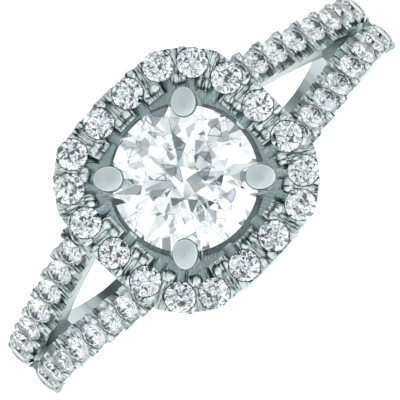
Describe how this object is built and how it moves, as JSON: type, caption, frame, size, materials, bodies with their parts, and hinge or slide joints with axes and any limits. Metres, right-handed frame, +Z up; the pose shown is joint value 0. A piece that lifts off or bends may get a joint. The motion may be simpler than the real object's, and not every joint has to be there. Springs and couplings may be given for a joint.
{
  "type": "halo diamond engagement ring with split shank",
  "caption": "Finger ring with a round brilliant in four claws, a cushion-shaped halo of small brilliants and a split shank set with stones on its shoulders.",
  "frame": {"origin": "on the table under the middle of the ring's box, as the ring lies on its side", "axes": "+Z up from the table, -Y the way the head and its centre stone face, X along the shank's width across the finger hole"},
  "size_m": [0.022, 0.0259, 0.0104],
  "materials": {
    "white_metal": "polished, rhodium plated white gold",
    "centre_diamond": "polished flat facets, colourless diamond",
    "small_diamond": "polished flat facets, colourless diamond"
  },
  "bodies": {
    "root": {"ring_mount": "white_metal", "centre_stone": "centre_diamond", "halo_stone_01": "small_diamond", "halo_stone_02": "small_diamond", "halo_stone_03": "small_diamond", "halo_stone_04": "small_diamond", "halo_stone_05": "small_diamond", "halo_stone_06": "small_diamond", "halo_stone_07": "small_diamond", "halo_stone_08": "small_diamond", "halo_stone_09": "small_diamond", "halo_stone_10": "small_diamond", "halo_stone_11": "small_diamond", "halo_stone_12": "small_diamond", "halo_stone_13": "small_diamond", "halo_stone_14": "small_diamond", "halo_stone_15": "small_diamond", "halo_stone_16": "small_diamond", "halo_stone_17": "small_diamond", "halo_stone_18": "small_diamond", "shoulder_stones_left": "small_diamond", "shoulder_stones_right": "small_diamond"}
  },
  "joints": []
}
